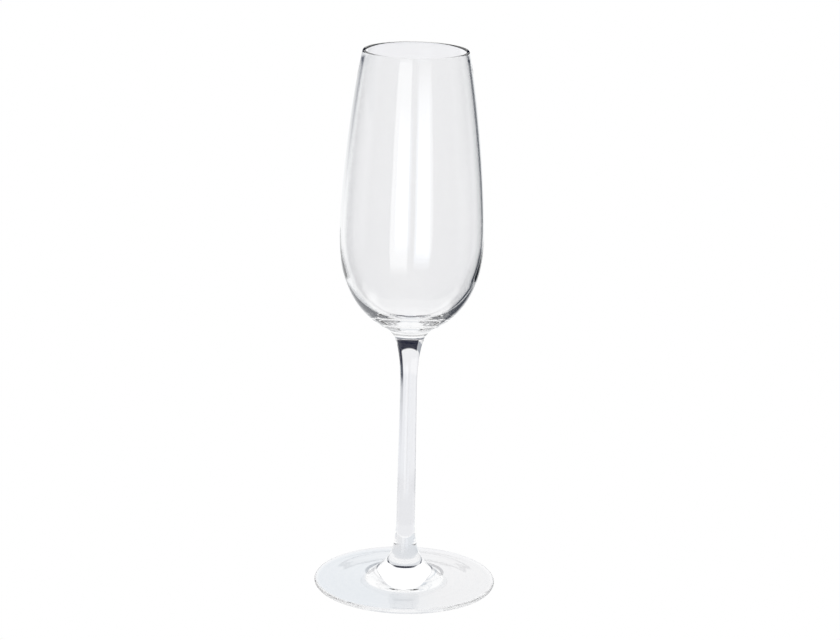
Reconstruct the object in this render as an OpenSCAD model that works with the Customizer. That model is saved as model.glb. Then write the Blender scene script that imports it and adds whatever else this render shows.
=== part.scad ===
// Champagne flute in clear glass: a blown bowl, a drawn stem and a spun foot, fused end to end.
// Millimetres, +Z up. The origin is at the centre of the plane that the foot rests on.
// Every piece is turned about the Z axis, so each one is an outline of [radius, height] points.

/* [Bowl] */
// Height of the lip above the table
rim_z = 222.5; // [214:0.5:230]
// Outer radius at the lip
rim_r = 21.15; // [20.15:0.05:22.15]
// Radius of the flame-polished lip, half of the wall there
lip_r = 0.65; // [0.55:0.05:0.75]
// Lean of the wall from vertical at the lip, in degrees
rim_lean = 12.5; // [10:0.5:15]
// Height of the widest place
belly_z = 148; // [144:1:152]
// Outer radius at the widest place
belly_r = 28.9; // [28.4:0.1:29.4]
// Height of the shoulder, where the side turns under
shoulder_z = 130; // [128:0.5:132]
// Outer radius at the shoulder
shoulder_r = 26.6; // [26.2:0.1:27]
// Lean of the side from vertical at the shoulder, in degrees
shoulder_lean = 20; // [17:1:23]
// Height at which the underside turns into the neck
base_z = 111.6; // [111:0.1:112.2]
// Outer radius there
base_r = 13.3; // [12.7:0.1:13.9]
// Slope of the underside there, in degrees above horizontal
base_rise = 34; // [31:1:37]
// Wall thickness at the widest place
wall = 1.1; // [1:0.05:1.3]
// Wall thickness at the shoulder
shoulder_wall = 1.6; // [1.4:0.1:2]
// Height of the inside floor at the centre
floor_z = 112; // [111.5:0.1:114]

/* [Stem] */
// Height of the weld between bowl and stem
top_weld_z = 106; // [105.5:0.1:106.5]
// Radius of that weld
top_weld_r = 6.5; // [6.3:0.1:6.8]
// Lean of the outline from vertical at that weld, in degrees
top_weld_lean = 33; // [30:1:36]
// Height of the thinnest place
waist_z = 86; // [82:1:90]
// Radius at the thinnest place
waist_r = 3.4; // [3.2:0.05:3.6]
// Height at which the flare above the foot begins
ankle_z = 30; // [27:1:33]
// Radius there
ankle_r = 3.8; // [3.6:0.05:4]

/* [Foot] */
// Height of the weld between stem and foot
low_weld_z = 9.6; // [9.4:0.1:9.8]
// Radius of that weld
low_weld_r = 7.85; // [7.7:0.05:8]
// Lean of the outline from vertical at that weld, in degrees
low_weld_lean = 36; // [34:1:38]
// Outer radius of the foot
foot_r = 37.25; // [36.5:0.25:38]
// Radius of the rounded edge, half of the thickness there
edge_r = 0.95; // [0.85:0.05:1.05]
// Radius at which the central cone meets the disc
cone_r = 15.2; // [14.8:0.1:15.6]
// Height at which the central cone meets the disc
cone_z = 3.2; // [3:0.05:3.4]
// Slope of the central cone, in degrees
cone_slope = 38; // [36:1:40]
// Inner radius of the ring that the foot rests on
rest_r = 34; // [33.5:0.25:34.5]
// Depth of the hollow under the foot
hollow_z = 0.9; // [0.6:0.05:1]

/* [Hidden] */
$fn = 128;
STEPS = 12;                       // straight pieces in each curve of an outline
GLASS = [0.88, 0.93, 0.94, 0.4];

// Point at a distance from another one, in a direction in degrees from +radius towards +Z
function away(point, angle, distance) = point + distance * [cos(angle), sin(angle)];

// Cubic curve that leaves a in direction leave and arrives at d in direction arrive, both in degrees.
// handles holds the lengths of its two handles. skip = 1 leaves out a, for a curve that runs on.
function curve(a, leave, handles, arrive, d, skip = 1) =
  let (b = away(a, leave, handles[0]), c = away(d, arrive, -handles[1]))
  [for (i = [skip : STEPS]) let (t = i / STEPS, s = 1 - t)
    s * s * s * a + 3 * s * s * t * b + 3 * s * t * t * c + t * t * t * d];

// Arc of a radius about a centre, from one direction to another, in degrees
function arc(centre, radius, from, to) =
  [for (i = [0 : STEPS]) away(centre, from + (to - from) * i / STEPS, radius)];

// Directions that two neighbouring curves share, so that the outline runs on smoothly
UP = 90;
DOWN = -90;
OUT = 0;
IN = 180;
RIM_UP = UP + rim_lean;
SHOULDER_UP = UP - shoulder_lean;
TOP_WELD_UP = UP - top_weld_lean;
LOW_WELD_UP = UP + low_weld_lean;
CONE_UP = IN - cone_slope;
BEAD_DOWN = DOWN + rim_lean + 0.5; // the wall thins slowly below the lip

// Points that two neighbouring curves share
lip = [rim_r - lip_r, rim_z - lip_r];
belly = [belly_r, belly_z];
shoulder = [shoulder_r, shoulder_z];
base = [base_r, base_z];
inner_belly = [belly_r - wall, belly_z];
inner_shoulder = away(shoulder, SHOULDER_UP + 90, shoulder_wall);
inner_floor = [0, floor_z];
top_weld = [top_weld_r, top_weld_z];
waist = [waist_r, waist_z];
ankle = [ankle_r, ankle_z];
low_weld = [low_weld_r, low_weld_z];
cone = [cone_r, cone_z];
edge = [foot_r - edge_r, edge_r];

module turned(outline) {
  rotate_extrude() polygon(outline);
}

module bowl() {
  outside = concat(
    curve(top_weld, TOP_WELD_UP, [5, 2], base_rise, base, skip = 0),
    curve(base, base_rise, [10.9, 4], SHOULDER_UP, shoulder),
    curve(shoulder, SHOULDER_UP, [3, 9.3], UP, belly),
    curve(belly, UP, [16, 20], RIM_UP, away(lip, rim_lean, lip_r)));
  bead = concat(arc(lip, lip_r, rim_lean, UP), arc(lip, lip_r, UP, IN + rim_lean));
  inside = concat(
    curve(away(lip, IN + rim_lean, lip_r), BEAD_DOWN, [12, 20], DOWN, inner_belly),
    curve(inner_belly, DOWN, [9.3, 3], SHOULDER_UP - 180, inner_shoulder),
    curve(inner_shoulder, SHOULDER_UP - 180, [5, 18], IN, inner_floor));
  color(GLASS) turned(concat([[0, top_weld_z]], outside, bead, inside));
}

module stem() {
  side = concat(
    curve(low_weld, LOW_WELD_UP, [4.5, 13], UP, ankle, skip = 0),
    curve(ankle, UP, [18, 18], UP, waist),
    curve(waist, UP, [11, 2], TOP_WELD_UP, top_weld));
  color(GLASS) turned(concat([[0, low_weld_z]], side, [[0, top_weld_z]]));
}

module foot() {
  underside = curve([0, hollow_z], OUT, [18, 8], OUT, [rest_r, 0], skip = 0);
  top = concat(
    curve(away(edge, UP, edge_r), IN, [8, 3], CONE_UP, cone),
    curve(cone, CONE_UP, [4, 2], LOW_WELD_UP, low_weld));
  color(GLASS) turned(concat(underside, arc(edge, edge_r, DOWN, UP), top, [[0, low_weld_z]]));
}

bowl();
stem();
foot();
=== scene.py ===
# Champagne flute in clear glass on a white table, lit like a product photograph.
#
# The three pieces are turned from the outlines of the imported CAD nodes, at a finer pitch and with
# smooth curves, because glass shows every facet. The faces that the fused welds hide are clear.
# Lengths are in metres. +Z is up, the camera stands on the -Y side, and +X is on its right.

import math

import bmesh
import bpy
from mathutils import Matrix, Vector


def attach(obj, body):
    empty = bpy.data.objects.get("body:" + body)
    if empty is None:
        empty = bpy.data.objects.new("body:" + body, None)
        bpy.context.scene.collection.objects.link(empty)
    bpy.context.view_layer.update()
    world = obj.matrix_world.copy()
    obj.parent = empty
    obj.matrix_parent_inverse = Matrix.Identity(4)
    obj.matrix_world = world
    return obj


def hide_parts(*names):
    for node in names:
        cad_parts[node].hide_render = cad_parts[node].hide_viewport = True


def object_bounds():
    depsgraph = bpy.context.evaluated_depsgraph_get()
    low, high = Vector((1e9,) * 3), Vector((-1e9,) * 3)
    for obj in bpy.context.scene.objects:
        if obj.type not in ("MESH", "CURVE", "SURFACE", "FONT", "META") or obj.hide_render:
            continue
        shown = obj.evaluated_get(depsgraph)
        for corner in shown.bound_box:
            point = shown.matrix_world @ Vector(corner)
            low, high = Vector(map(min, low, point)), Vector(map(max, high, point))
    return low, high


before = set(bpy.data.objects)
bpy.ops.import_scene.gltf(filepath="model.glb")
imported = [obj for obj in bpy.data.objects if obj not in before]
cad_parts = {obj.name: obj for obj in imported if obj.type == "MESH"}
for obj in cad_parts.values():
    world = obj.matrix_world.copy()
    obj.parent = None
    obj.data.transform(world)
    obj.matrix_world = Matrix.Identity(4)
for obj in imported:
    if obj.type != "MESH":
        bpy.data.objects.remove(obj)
cad_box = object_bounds()

MM = 0.001
scene = bpy.context.scene
low_corner, high_corner = cad_box
table_z = low_corner.z
foot_radius = (high_corner.x - low_corner.x) / 2


# ---------------------------------------------------------------- objects

def mesh_from(bm, name):
    mesh = bpy.data.meshes.new(name)
    bm.to_mesh(mesh)
    bm.free()
    return mesh


def add_object(name, data):
    thing = bpy.data.objects.new(name, data)
    scene.collection.objects.link(thing)
    return thing


# ---------------------------------------------------------------- camera

LENS = 112.4                       # mm
SENSOR = 36                        # mm, the sensor's width
CAMERA_DISTANCE = 1.0223           # m, level, from the glass's axis
CAMERA_HEIGHT = 0.3909             # m above the table
CAMERA_SIDE = 0.004                # m to the right of the glass's axis
PITCH = -15.23                     # degrees above horizontal, so the camera looks down
ROLL = 1.36                        # degrees, as the photographer held it
CLIP_START = 0.05                  # m
CLIP_END = 20                      # m


def make_camera():
    data = bpy.data.cameras.new("camera")
    data.lens = LENS
    data.sensor_width = SENSOR
    data.clip_start = CLIP_START
    data.clip_end = CLIP_END
    camera = add_object("camera", data)
    tilt = Matrix.Rotation(math.radians(90 + PITCH), 4, "X")
    roll = Matrix.Rotation(math.radians(ROLL), 4, "Z")
    place = Matrix.Translation((CAMERA_SIDE, -CAMERA_DISTANCE, CAMERA_HEIGHT))
    camera.matrix_world = place @ tilt @ roll
    scene.camera = camera


# ---------------------------------------------------------------- outlines

# An outline is a list of Vectors (radius, height), from the axis round the piece and back to it.
NEAR = 1e-6                        # m; two places closer than this are the same
DECIMALS = 7                       # of a corner's radius and height, so that equal corners match
CORNER = math.radians(25)          # a sharper turn than this is a real edge
STRAIGHT = math.radians(0.01)      # a smaller turn than this is no point of the outline
RING_TURN = math.radians(1.2)      # most that the outline turns between two rings
RING_GAP = 1.6 * MM                # furthest apart that two rings are


def turn_at(a, b, c):
    """Angle in radians by which the outline turns at b."""
    return abs((b - a).angle_signed(c - b, 0.0))


def section(node):
    """Where a turned CAD node is cut at y = 0 on the side of +X: each corner's neighbours."""
    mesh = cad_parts[node].data
    corner = {}
    for v in mesh.vertices:
        if abs(v.co.y) < NEAR and v.co.x > -NEAR:
            corner[v.index] = (round(v.co.x, DECIMALS), round(v.co.z, DECIMALS))
    beside = {}
    for e in mesh.edges:
        a, b = (corner.get(i) for i in e.vertices)
        if a and b and a != b:
            beside.setdefault(a, set()).add(b)
            beside.setdefault(b, set()).add(a)
    return beside


def chained(beside):
    """The corners in order, from the lowest loose end to the other one."""
    here = min((p for p in beside if len(beside[p]) == 1), key=lambda p: p[1])
    chain = [here]
    while True:
        ahead = [p for p in beside[here] if p not in chain]
        if not ahead:
            return chain
        here = min(ahead, key=lambda p: (Vector(p) - Vector(here)).length)
        chain.append(here)


def meridian(node):
    """The outline of a turned CAD node, without corners at which it doesn't turn."""
    chain = chained(section(node))
    if chain[0][0] > NEAR:
        chain.insert(0, (0.0, chain[0][1]))
    if chain[-1][0] > NEAR:
        chain.append((0.0, chain[-1][1]))
    points = [Vector(p) for p in chain]
    kept = [points[0]]
    for i in range(1, len(points) - 1):
        if turn_at(kept[-1], points[i], points[i + 1]) > STRAIGHT:
            kept.append(points[i])
    return kept + [points[-1]]


def runs(points):
    """The outline cut at its real edges into smooth runs."""
    cut, found = [points[0]], []
    for i in range(1, len(points) - 1):
        cut.append(points[i])
        if turn_at(*points[i - 1:i + 2]) > CORNER:
            found.append(cut)
            cut = [points[i]]
    return found + [cut + [points[-1]]]


def tangents(points):
    """Directions of a smooth curve at its points: of the circle through each three neighbours."""
    steps = [b - a for a, b in zip(points, points[1:])]
    inner = []
    for s, t in zip(steps, steps[1:]):
        inner.append((s.normalized() * t.length + t.normalized() * s.length).normalized())
    if not inner:
        return [steps[0].normalized()] * 2
    first = 2 * steps[0].normalized() - inner[0]
    last = 2 * steps[-1].normalized() - inner[-1]
    return [first.normalized()] + inner + [last.normalized()]


def smooth(points):
    """The run at a finer pitch, on a cubic curve through its points, and not below the table."""
    fine = [points[0]]
    ways = tangents(points)
    for i, (a, b) in enumerate(zip(points, points[1:])):
        length = (b - a).length
        turn = abs(ways[i].angle_signed(ways[i + 1], 0.0))
        count = max(1, math.ceil(turn / RING_TURN), math.ceil(length / RING_GAP))
        c = a + ways[i] * length / 3
        d = b - ways[i + 1] * length / 3
        for k in range(1, count + 1):
            t = k / count
            s = 1 - t
            fine.append(s ** 3 * a + 3 * s * s * t * c + 3 * s * t * t * d + t ** 3 * b)
    for p in fine:
        p.y = max(p.y, table_z)
    return fine


# ---------------------------------------------------------------- turned pieces

SEGMENTS = 160                     # round the axis
GLASS_FACES = 0                    # material slots of a piece
WELD_FACES = 1


def ring(bm, point):
    """The vertices that a point of the outline sweeps, or the one that it leaves on the axis."""
    if point.x < NEAR:
        return [bm.verts.new((0, 0, point.y))]
    turns = (2 * math.pi * k / SEGMENTS for k in range(SEGMENTS))
    return [bm.verts.new((point.x * math.cos(a), point.x * math.sin(a), point.y)) for a in turns]


def skin(bm, one, other, material):
    """The faces between two neighbouring rings. A ring on the axis has one vertex."""
    for k in range(SEGMENTS):
        there = [one[k % len(one)], one[(k + 1) % len(one)]]
        back = [other[(k + 1) % len(other)], other[k % len(other)]]
        face = bm.faces.new(list(dict.fromkeys(there + back)))
        face.smooth = True
        face.material_index = material


def turned_mesh(node, name):
    """The outline of a CAD node swept round the axis, with a sharp edge between its runs."""
    bm = bmesh.new()
    last = None
    for run in runs(meridian(node)):
        flat = max(p.y for p in run) - min(p.y for p in run) < NEAR
        rings = [last or ring(bm, run[0])]
        rings += [ring(bm, p) for p in smooth(run)[1:]]
        for one, other in zip(rings, rings[1:]):
            skin(bm, one, other, WELD_FACES if flat else GLASS_FACES)
        last = rings[-1]
        if len(last) > 1:
            for a, b in zip(last, last[1:] + last[:1]):
                bm.edges.get((a, b)).smooth = False
    bmesh.ops.recalc_face_normals(bm, faces=bm.faces)
    return mesh_from(bm, name)


def turned(node, name, glass, weld):
    """A piece that replaces a turned CAD node. Its flat welds take the second material."""
    mesh = turned_mesh(node, name)
    mesh.materials.append(glass)
    mesh.materials.append(weld)
    piece = add_object(name, mesh)
    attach(piece, "root")
    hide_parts(node)
    return piece


# ---------------------------------------------------------------- materials of the glass

GLASS_IOR = 1.52                   # soda-lime glass
CLEAR = (0.998, 0.998, 1.0, 1)
CLEAR_COOL = (0.985, 0.988, 0.995, 1)

# How uneven each piece is: metres from the highest to the lowest place of its surface.
BOWL_WAVES = 0.06 * MM
STEM_LINES = 0.02 * MM
FOOT_RINGS = 0.005 * MM

# Soft waves of the bowl and of the stem, so many to the metre across the axis and along it.
BLOWN = (60, 8)
DRAWN = (500, 12)

# Rings of the foot: Blender's wave texture at this scale has one every 4 mm.
SPUN_SCALE = 78
SPUN_DISTORTION = 1.5
SPUN_DETAIL_SCALE = 0.5


def new_material(name):
    material = bpy.data.materials.new(name)
    material.use_nodes = True
    material.node_tree.nodes.clear()
    return material, material.node_tree.nodes, material.node_tree.links


def make_glass(name, depth, pattern):
    """Clear glass, uneven by depth in metres. pattern makes the texture of the unevenness."""
    material, nodes, links = new_material(name)
    out = nodes.new("ShaderNodeOutputMaterial")
    shader = nodes.new("ShaderNodeBsdfPrincipled")
    shader.inputs["Transmission Weight"].default_value = 1.0
    shader.inputs["IOR"].default_value = GLASS_IOR
    shader.inputs["Roughness"].default_value = 0.0
    links.new(shader.outputs["BSDF"], out.inputs["Surface"])
    waves = pattern(nodes, links)
    tint = nodes.new("ShaderNodeMix")
    tint.data_type = "RGBA"
    tint.inputs["A"].default_value = CLEAR
    tint.inputs["B"].default_value = CLEAR_COOL
    links.new(waves, tint.inputs["Factor"])
    links.new(tint.outputs["Result"], shader.inputs["Base Color"])
    bump = nodes.new("ShaderNodeBump")
    bump.inputs["Strength"].default_value = 1.0
    bump.inputs["Distance"].default_value = depth
    links.new(waves, bump.inputs["Height"])
    links.new(bump.outputs["Normal"], shader.inputs["Normal"])
    return material


def drawn_out(nodes, links, across, along):
    """Soft waves, so many to the metre across the axis and along it."""
    place = nodes.new("ShaderNodeTexCoord")
    scale = nodes.new("ShaderNodeMapping")
    scale.inputs["Scale"].default_value = (across, across, along)
    waves = nodes.new("ShaderNodeTexNoise")
    waves.inputs["Scale"].default_value = 1.0
    waves.inputs["Detail"].default_value = 1.0
    links.new(place.outputs["Object"], scale.inputs["Vector"])
    links.new(scale.outputs["Vector"], waves.inputs["Vector"])
    return waves.outputs["Fac"]


def blown(nodes, links):
    return drawn_out(nodes, links, *BLOWN)


def drawn(nodes, links):
    return drawn_out(nodes, links, *DRAWN)


def spun(nodes, links):
    """Faint rings about the axis, not quite even."""
    place = nodes.new("ShaderNodeTexCoord")
    rings = nodes.new("ShaderNodeTexWave")
    rings.wave_type = "RINGS"
    rings.rings_direction = "Z"
    rings.inputs["Scale"].default_value = SPUN_SCALE
    rings.inputs["Distortion"].default_value = SPUN_DISTORTION
    rings.inputs["Detail Scale"].default_value = SPUN_DETAIL_SCALE
    links.new(place.outputs["Object"], rings.inputs["Vector"])
    return rings.outputs["Fac"]


def make_weld():
    """Fused glass has no surface between its pieces, so light passes straight through here."""
    material, nodes, links = new_material("fused_weld")
    out = nodes.new("ShaderNodeOutputMaterial")
    clear = nodes.new("ShaderNodeBsdfTransparent")
    links.new(clear.outputs["BSDF"], out.inputs["Surface"])
    return material


# ---------------------------------------------------------------- studio: what the glass shows

WHITE = (1.0, 1.0, 1.0)
# Painted shade: the far table, as light bent once through the glass sees it, is greyer than the
# white it shows to the eye.
SHADED_FAR_TABLE = (0.875, 0.88, 0.90)

ROOM = (0.13, 0.15, 0.19)          # behind the cards, for light that is mirrored once
DARK_ROOM = (0.08, 0.085, 0.10)    # and for light that is mirrored more often

# Light that the glass bends or mirrors comes from these cards. The lists below them say which
# ones, and paint them over each other in their own order. Azimuth is in degrees from the back,
# +Y, towards +X, and 180 is the camera's side. Elevation is in degrees above the table.
# Each row: middle azimuth, half width and its soft edge; low end and its soft edge; high end and
# its soft edge; colour.
CARDS = {
    "table to the horizon": (0, 180, 1, -90, 1, -1.0, 1.0, (0.93, 0.94, 0.95)),
    "table on the left": (-88, 36, 8, -45, 4, -1.0, 1.0, (0.30, 0.30, 0.33)),
    "dark wall behind": (14, 44, 3, -1.3, 0.7, 11.5, 1, (0.01, 0.012, 0.03)),
    "dark wall above it": (14, 44, 3, 10, 1, 29, 2, (0.01, 0.012, 0.03)),
    "grey wall behind": (-50, 20, 3, -0.5, 0.7, 11.5, 1, (0.40, 0.42, 0.46)),
    "soft box behind": (0, 55, 3, 11.5, 1, 85, 3, (1.15, 1.15, 1.15)),
    "ceiling": (0, 180, 1, 45, 4, 91, 1, (0.9, 0.9, 0.9)),
    "flag on the right": (61, 39, 3, -60, 3, 11, 2, (0.05, 0.06, 0.08)),
    "table on the right": (92, 36, 8, -45, 4, -4, 2, (0.25, 0.25, 0.28)),
    "flag beside the stem": (68, 36, 4, -16.5, 3.5, 11, 2, (0.01, 0.012, 0.03)),
    "far table, near its edge": (0, 180, 1, -14, 1, -2, 1, (0.95, 0.95, 0.965)),
    "far table": (0, 180, 1, -90, 1, -13, 1, SHADED_FAR_TABLE),
    "flag on the left": (-28, 18, 3, -7, 4, 11, 1, (0.16, 0.17, 0.20)),
    "dark room in front": (180, 82, 6, -90, 1, 90, 1, (0.075, 0.07, 0.095)),
    "left strip light": (-159, 14, 0.8, -27, 5, 16, 3, (1.5, 1.5, 1.5)),
    "right strip light": (163.5, 12.5, 0.8, -23, 2, 6, 8, (1.1, 1.2, 1.35)),
}
# For light that only passes in and out of the glass once, as through the stem.
BENT = (
    "far table, near its edge", "far table", "dark wall behind", "dark wall above it",
    "grey wall behind", "flag beside the stem",
)
# For light that is mirrored once, as in the walls of the bowl.
MIRRORED = (
    "table to the horizon", "table on the left", "dark wall behind", "grey wall behind",
    "soft box behind", "flag on the right", "table on the right", "flag on the left",
    "dark room in front", "left strip light", "right strip light",
)
# For light that is mirrored more often, as in the foot.
DEEP = ("table to the horizon", "dark wall behind", "soft box behind", "ceiling")

IN_AND_OUT = 2                     # surfaces that light crosses on one way through the glass
HALF = 0.5                         # tells one whole count from the next


def math_node(tree, operation, *values):
    node = tree.nodes.new("ShaderNodeMath")
    node.operation = operation
    for socket, value in zip(node.inputs, values):
        if isinstance(value, (int, float)):
            socket.default_value = value
        else:
            tree.links.new(value, socket)
    return node.outputs[0]


def times(tree, one, other):
    return math_node(tree, "MULTIPLY", one, other)


def step_up(tree, value, edge, soft):
    """0 below the edge and 1 above it, over a soft band."""
    node = tree.nodes.new("ShaderNodeMapRange")
    node.interpolation_type = "SMOOTHSTEP"
    tree.links.new(value, node.inputs["Value"])
    node.inputs["From Min"].default_value = edge - soft
    node.inputs["From Max"].default_value = edge + soft
    return node.outputs["Result"]


def inverse(tree, value):
    return math_node(tree, "SUBTRACT", 1.0, value)


def step_down(tree, value, edge, soft):
    """1 below the edge and 0 above it, over a soft band."""
    return inverse(tree, step_up(tree, value, edge, soft))


def mix_colour(tree, factor, under, over):
    node = tree.nodes.new("ShaderNodeMix")
    node.data_type = "RGBA"
    tree.links.new(factor, node.inputs["Factor"])
    for socket, colour in ((node.inputs["A"], under), (node.inputs["B"], over)):
        if isinstance(colour, tuple):
            socket.default_value = (*colour, 1)
        else:
            tree.links.new(colour, socket)
    return node.outputs["Result"]


def paint_cards(tree, azimuth, elevation, under, names):
    light = under
    for name in names:
        middle, half, side_soft, low, low_soft, high, high_soft, colour = CARDS[name]
        turn = math_node(tree, "WRAP", math_node(tree, "SUBTRACT", azimuth, middle), 180, -180)
        across = step_down(tree, math_node(tree, "ABSOLUTE", turn), half, side_soft)
        above = step_up(tree, elevation, low, low_soft)
        below = step_down(tree, elevation, high, high_soft)
        mask = times(tree, across, times(tree, above, below))
        light = mix_colour(tree, mask, light, colour)
    return light


def mirrored_light(tree, count=1):
    """1 for light that the glass has mirrored so many times on its way, or more often."""
    path = tree.nodes.new("ShaderNodeLightPath")
    return math_node(tree, "GREATER_THAN", path.outputs["Glossy Depth"], count - HALF)


def bent_light(tree):
    """1 for light that has only passed in and out of the glass once."""
    path = tree.nodes.new("ShaderNodeLightPath")
    once = math_node(tree, "COMPARE", path.outputs["Transmission Depth"], IN_AND_OUT, HALF)
    return times(tree, once, inverse(tree, mirrored_light(tree)))


def make_world():
    """White to the eye. Light that the glass bends or mirrors comes from the cards instead."""
    world = bpy.data.worlds.new("studio")
    world.use_nodes = True
    scene.world = world
    tree = world.node_tree
    place = tree.nodes.new("ShaderNodeTexCoord")
    split = tree.nodes.new("ShaderNodeSeparateXYZ")
    tree.links.new(place.outputs["Generated"], split.inputs[0])
    x, y, z = split.outputs
    azimuth = math_node(tree, "DEGREES", math_node(tree, "ARCTAN2", x, y))
    elevation = math_node(tree, "DEGREES", math_node(tree, "ARCSINE", z))
    bent = paint_cards(tree, azimuth, elevation, WHITE, BENT)
    mirrored = paint_cards(tree, azimuth, elevation, ROOM, MIRRORED)
    deep = paint_cards(tree, azimuth, elevation, DARK_ROOM, DEEP)
    seen = mix_colour(tree, bent_light(tree), WHITE, bent)
    seen = mix_colour(tree, mirrored_light(tree), seen, mirrored)
    seen = mix_colour(tree, mirrored_light(tree, 2), seen, deep)
    tree.links.new(seen, tree.nodes["Background"].inputs["Color"])


# ---------------------------------------------------------------- table and surround

ROUND = 96                         # segments of the table and of the surround
FLOOR_RADIUS = 4.0                 # m
FLOOR_GAP = 0.02 * MM              # between the foot and the table
FOOT_EDGE_SOFT = 1 * MM            # soft edge of the shade under the foot
NEAR_TABLE = 0.12                  # m; beyond this the glass shows the cards and not the table
NEAR_TABLE_SOFT = 0.012            # m
# Painted shade: the table in front, as the glass mirrors it, is dark.
SHADED_TABLE_IN_FRONT = (0.10, 0.10, 0.12)
SHADE_LEFT = (0.71, 0.75, 0.79)    # the table under the foot, which gets its light through glass
SHADE_RIGHT = (0.80, 0.80, 0.81)
SURROUND_RADIUS = 0.15             # m
SURROUND_HEIGHT = 0.13             # m


def glow_where(material, colour, mask):
    """Make the material shine in a colour where mask is 1 and be clear elsewhere."""
    tree = material.node_tree
    out = tree.nodes.new("ShaderNodeOutputMaterial")
    glow = tree.nodes.new("ShaderNodeEmission")
    clear = tree.nodes.new("ShaderNodeBsdfTransparent")
    mix = tree.nodes.new("ShaderNodeMixShader")
    if isinstance(colour, tuple):
        glow.inputs["Color"].default_value = (*colour, 1)
    else:
        tree.links.new(colour, glow.inputs["Color"])
    tree.links.new(mask, mix.inputs["Fac"])
    tree.links.new(clear.outputs["BSDF"], mix.inputs[1])
    tree.links.new(glow.outputs["Emission"], mix.inputs[2])
    tree.links.new(mix.outputs["Shader"], out.inputs["Surface"])


def make_table_material():
    """White to the eye. In the glass it shows painted shade under the foot, greyer behind the stem
    and dark in front, and is gone far off.
    """
    material, nodes, links = new_material("white_table")
    tree = material.node_tree
    place = nodes.new("ShaderNodeNewGeometry")
    split = nodes.new("ShaderNodeSeparateXYZ")
    length = nodes.new("ShaderNodeVectorMath")
    length.operation = "LENGTH"
    links.new(place.outputs["Position"], split.inputs[0])
    links.new(place.outputs["Position"], length.inputs[0])
    x, y = split.outputs[:2]
    away = length.outputs["Value"]
    path = nodes.new("ShaderNodeLightPath")
    bent = bent_light(tree)
    mirrored = mirrored_light(tree)
    once = math_node(tree, "SUBTRACT", mirrored, mirrored_light(tree, 2))

    beside_foot = step_up(tree, away, foot_radius - FOOT_EDGE_SOFT, FOOT_EDGE_SOFT)
    # Painted shade: seen through the stem, the table beyond the foot is greyer.
    shade_behind_stem = times(tree, bent, beside_foot)
    colour = mix_colour(tree, shade_behind_stem, WHITE, SHADED_FAR_TABLE)

    shade = mix_colour(tree, step_up(tree, x, 0, foot_radius / 2), SHADE_LEFT, SHADE_RIGHT)
    through_glass = math_node(tree, "MINIMUM", path.outputs["Transmission Depth"], 1)
    shaded = times(tree, inverse(tree, beside_foot), through_glass)
    colour = mix_colour(tree, shaded, colour, shade)

    # Painted shade: in light mirrored once, the table in front of the foot is dark.
    front_shade = times(tree, step_down(tree, y, 0, foot_radius), beside_foot)
    colour = mix_colour(tree, times(tree, front_shade, once), colour, SHADED_TABLE_IN_FRONT)

    far = step_up(tree, away, NEAR_TABLE, NEAR_TABLE_SOFT)
    gone = times(tree, far, math_node(tree, "MAXIMUM", bent, mirrored))
    glow_where(material, colour, inverse(tree, gone))
    return material


def make_floor():
    bm = bmesh.new()
    bmesh.ops.create_circle(bm, cap_ends=True, segments=ROUND, radius=FLOOR_RADIUS)
    mesh = mesh_from(bm, "floor")
    mesh.materials.append(make_table_material())
    floor = add_object("floor", mesh)
    floor.location.z = table_z - FLOOR_GAP


def make_surround():
    """A low white wall round the table, which only light mirrored twice or more has seen."""
    bm = bmesh.new()
    bmesh.ops.create_circle(bm, segments=ROUND, radius=SURROUND_RADIUS)
    wall = bmesh.ops.extrude_edge_only(bm, edges=bm.edges[:])
    raised = [v for v in wall["geom"] if isinstance(v, bmesh.types.BMVert)]
    bmesh.ops.translate(bm, verts=raised, vec=(0, 0, SURROUND_HEIGHT))
    mesh = mesh_from(bm, "surround")
    material = new_material("surround")[0]
    glow_where(material, WHITE, mirrored_light(material.node_tree, 2))
    mesh.materials.append(material)
    add_object("surround", mesh)


# ---------------------------------------------------------------- the scene

# Light is mirrored many times inside a thick stem or foot before it leaves the glass. What is
# still inside after so many turns comes back black, which draws the dark line along the lip.
BOUNCES = 40

scene.view_settings.view_transform = "Standard"
scene.cycles.max_bounces = BOUNCES
scene.cycles.glossy_bounces = BOUNCES
scene.cycles.transmission_bounces = BOUNCES
scene.cycles.transparent_max_bounces = BOUNCES

make_camera()
weld = make_weld()
bowl = turned("bowl", "blown_bowl", make_glass("bowl_clear", BOWL_WAVES, blown), weld)
stem = turned("stem", "drawn_stem", make_glass("stem_clear", STEM_LINES, drawn), weld)
foot = turned("foot", "spun_foot", make_glass("foot_clear", FOOT_RINGS, spun), weld)
make_floor()
make_surround()
make_world()
